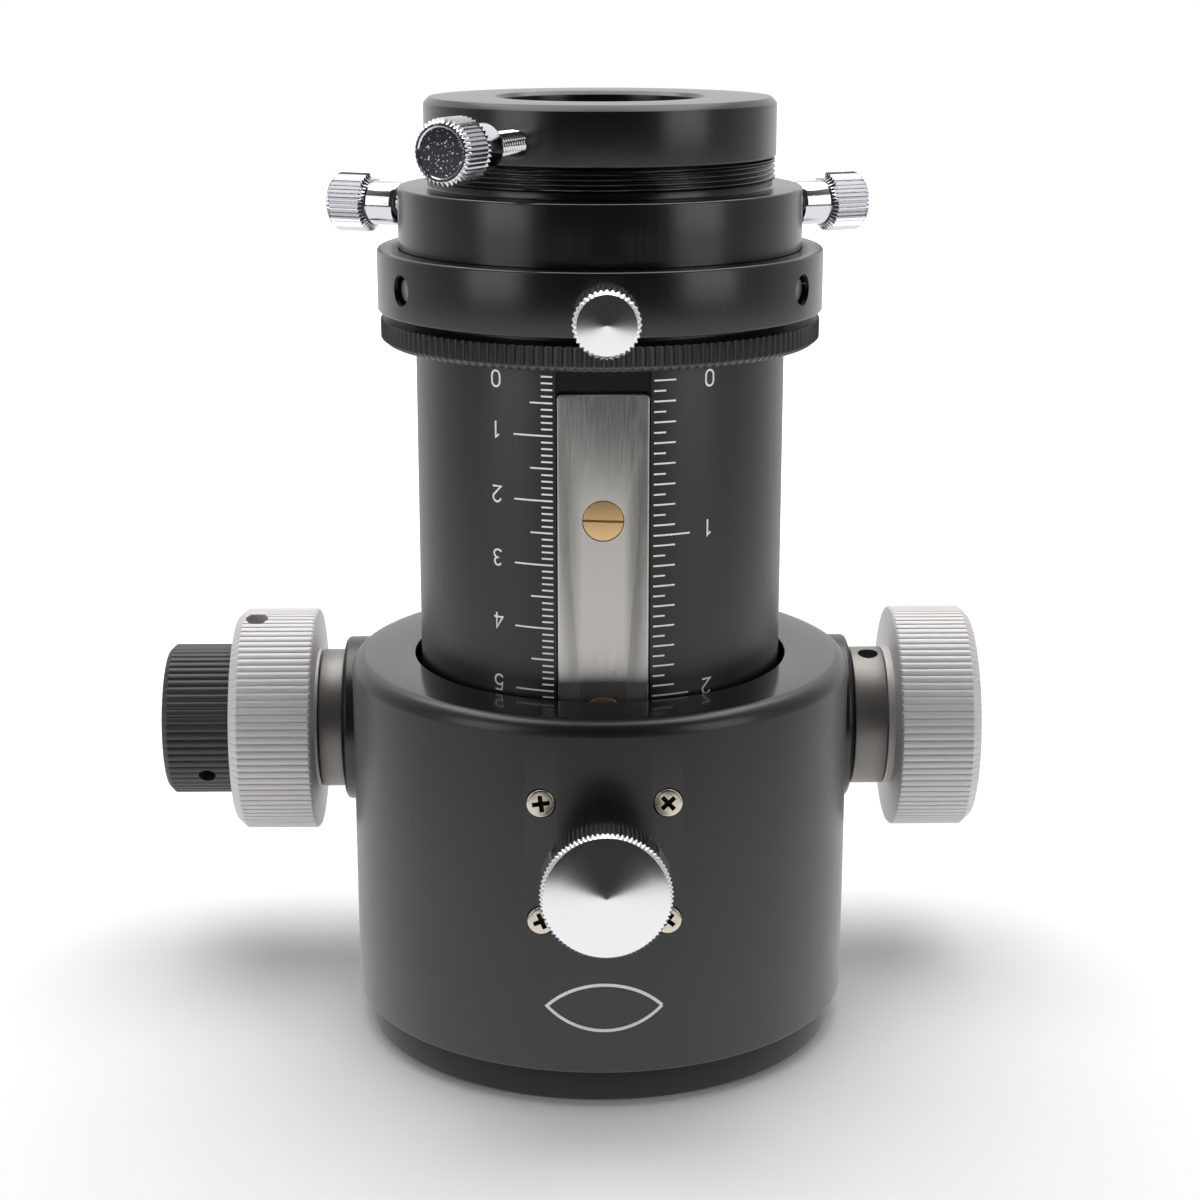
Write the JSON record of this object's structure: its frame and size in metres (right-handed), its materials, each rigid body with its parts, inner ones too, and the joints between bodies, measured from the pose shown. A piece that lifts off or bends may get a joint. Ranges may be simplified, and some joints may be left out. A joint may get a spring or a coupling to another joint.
{
  "type": "dual-speed telescope focuser",
  "caption": "Friction-driven telescope focuser: a drawtube racks in a round housing by coarse and fine knobs and carries a rotating eyepiece holder with a reducing adapter.",
  "frame": {"origin": "on the drawtube axis, at the foot of the mounting spigot", "axes": "+Z along the drawtube toward the eyepiece, -Y toward the engraved scale and the tension knob, +X toward the knob without the fine drive"},
  "size_m": [0.1435, 0.1072, 0.1528],
  "materials": {
    "housing_black": "satin black, fine even texture",
    "black_anodised": "semi-gloss black anodised, turned",
    "fine_knob_black": "satin black anodised",
    "flat_black": "matt",
    "clear_anodised": "clear anodised, satin",
    "turned_aluminium": "bright turned",
    "plain_aluminium": "as machined",
    "nickel": "satin nickel",
    "brushed_stainless": "brushed along its length",
    "bearing_steel": "ground",
    "chrome_plate": "polished",
    "steel_screw": "zinc-plated",
    "brass": "bright",
    "bronze": "sintered",
    "acetal": "plain"
  },
  "bodies": {
    "root": {"housing": "housing_black", "tube_adapter": "black_anodised", "adapter_ring_screws": "steel_screw", "brake_carrier": "plain_aluminium", "brake_carrier_screws": "nickel", "brake_pad": "acetal", "roller_pins": "bearing_steel", "shaft_bush_left": "bronze", "shaft_bush_right": "bronze", "reducer_race": "nickel", "race_screw": "steel_screw"},
    "guide_roller_1": {"guide_roller_1": "bearing_steel"},
    "guide_roller_2": {"guide_roller_2": "bearing_steel"},
    "guide_roller_3": {"guide_roller_3": "bearing_steel"},
    "guide_roller_4": {"guide_roller_4": "bearing_steel"},
    "tension_knob": {"tension_knob": "turned_aluminium"},
    "focus_shaft": {"focus_shaft": "bearing_steel", "ball_carrier": "plain_aluminium", "coarse_knob_left": "clear_anodised", "coarse_knob_right": "clear_anodised", "shaft_hub_right": "nickel", "coarse_knob_screws": "steel_screw"},
    "reducer_ball_1": {"reducer_ball_1": "bearing_steel"},
    "reducer_ball_2": {"reducer_ball_2": "bearing_steel"},
    "reducer_ball_3": {"reducer_ball_3": "bearing_steel"},
    "fine_knob": {"fine_shaft": "bearing_steel", "fine_knob": "fine_knob_black", "fine_knob_screw": "steel_screw"},
    "drawtube": {"drawtube": "black_anodised", "front_plate": "brushed_stainless", "front_plate_screws": "brass", "drive_strip": "bearing_steel", "drive_strip_screws": "steel_screw", "tube_baffle": "flat_black", "collar": "black_anodised", "collar_screws": "steel_screw"},
    "lock_ring": {"lock_ring": "black_anodised"},
    "collar_lock_knob": {"collar_lock_knob": "turned_aluminium"},
    "eyepiece_holder": {"eyepiece_holder": "black_anodised", "holder_clamp_ring": "brass"},
    "holder_thumbscrew_left": {"holder_thumbscrew_left": "chrome_plate"},
    "holder_thumbscrew_right": {"holder_thumbscrew_right": "chrome_plate"},
    "adapter": {"reducing_adapter": "black_anodised", "adapter_clamp_ring": "brass"},
    "adapter_thumbscrew": {"adapter_thumbscrew": "chrome_plate"}
  },
  "joints": [
    {"name": "focus", "type": "hinge", "parent": "root", "child": "focus_shaft", "pos_m": [0, 0.032, 0.041], "axis": [-1, 0, 0], "range_deg": [-979, 76]},
    {"name": "fine_focus", "type": "hinge", "parent": "root", "child": "fine_knob", "pos_m": [-0.07, 0.032, 0.041], "axis": [-1, 0, 0], "range_deg": [-9795, 765]},
    {"name": "drawtube_slide", "type": "slide", "parent": "root", "child": "drawtube", "axis": [0, 0, 1], "range_m": [-0.0514, 0.004]},
    {"name": "ball_1_spin", "type": "hinge", "parent": "focus_shaft", "child": "reducer_ball_1", "pos_m": [-0.045, 0.032, 0.04478], "axis": [-1, 0, 0], "range_deg": [-172, 2204]},
    {"name": "ball_2_spin", "type": "hinge", "parent": "focus_shaft", "child": "reducer_ball_2", "pos_m": [-0.045, 0.02873, 0.03911], "axis": [-1, 0, 0], "range_deg": [-172, 2204]},
    {"name": "ball_3_spin", "type": "hinge", "parent": "focus_shaft", "child": "reducer_ball_3", "pos_m": [-0.045, 0.03527, 0.03911], "axis": [-1, 0, 0], "range_deg": [-172, 2204]},
    {"name": "roller_1_spin", "type": "hinge", "parent": "root", "child": "guide_roller_1", "pos_m": [-0.02219, -0.02645, 0.0175], "axis": [0.766, -0.6428, 0], "range_deg": [-588, 46]},
    {"name": "roller_2_spin", "type": "hinge", "parent": "root", "child": "guide_roller_2", "pos_m": [0.02219, -0.02645, 0.0175], "axis": [0.766, 0.6428, 0], "range_deg": [-588, 46]},
    {"name": "roller_3_spin", "type": "hinge", "parent": "root", "child": "guide_roller_3", "pos_m": [-0.02219, -0.02645, 0.054], "axis": [0.766, -0.6428, 0], "range_deg": [-588, 46]},
    {"name": "roller_4_spin", "type": "hinge", "parent": "root", "child": "guide_roller_4", "pos_m": [0.02219, -0.02645, 0.054], "axis": [0.766, 0.6428, 0], "range_deg": [-588, 46]},
    {"name": "tension_turn", "type": "hinge", "parent": "root", "child": "tension_knob", "pos_m": [0, -0.045, 0.0404], "axis": [0, -1, 0], "range_deg": [-180, 720]},
    {"name": "lock_ring_turn", "type": "hinge", "parent": "drawtube", "child": "lock_ring", "pos_m": [0, 0, 0.1166], "axis": [0, 0, 1], "range_deg": [-360, 360]},
    {"name": "lock_knob_turn", "type": "hinge", "parent": "drawtube", "child": "collar_lock_knob", "pos_m": [0, -0.05, 0.1246], "axis": [0, -1, 0], "range_deg": [0, 720]},
    {"name": "holder_rotation", "type": "hinge", "parent": "drawtube", "child": "eyepiece_holder", "pos_m": [0, 0, 0.13], "axis": [0, 0, 1], "continuous": true},
    {"name": "left_thumbscrew_turn", "type": "hinge", "parent": "eyepiece_holder", "child": "holder_thumbscrew_left", "pos_m": [-0.0364, 0.01659, 0.1347], "axis": [-0.91, 0.4147, 0], "range_deg": [0, 720]},
    {"name": "right_thumbscrew_turn", "type": "hinge", "parent": "eyepiece_holder", "child": "holder_thumbscrew_right", "pos_m": [0.0364, 0.01659, 0.1347], "axis": [0.91, 0.4147, 0], "range_deg": [0, 720]},
    {"name": "adapter_lift", "type": "slide", "parent": "eyepiece_holder", "child": "adapter", "axis": [0, 0, 1], "range_m": [0, 0.04]},
    {"name": "adapter_thumbscrew_turn", "type": "hinge", "parent": "adapter", "child": "adapter_thumbscrew", "pos_m": [-0.01643, -0.0309, 0.14718], "axis": [-0.4695, -0.8829, 0], "range_deg": [0, 720]}
  ],
  "couplings": [
    {"joint": "fine_focus", "follows": "focus", "ratio": 10},
    {"joint": "drawtube_slide", "follows": "focus", "m_per_rad": 0.003},
    {"joint": "ball_1_spin", "follows": "focus", "ratio": -2.25},
    {"joint": "ball_2_spin", "follows": "focus", "ratio": -2.25},
    {"joint": "ball_3_spin", "follows": "focus", "ratio": -2.25},
    {"joint": "roller_1_spin", "follows": "focus", "ratio": 0.6},
    {"joint": "roller_2_spin", "follows": "focus", "ratio": 0.6},
    {"joint": "roller_3_spin", "follows": "focus", "ratio": 0.6},
    {"joint": "roller_4_spin", "follows": "focus", "ratio": 0.6}
  ]
}
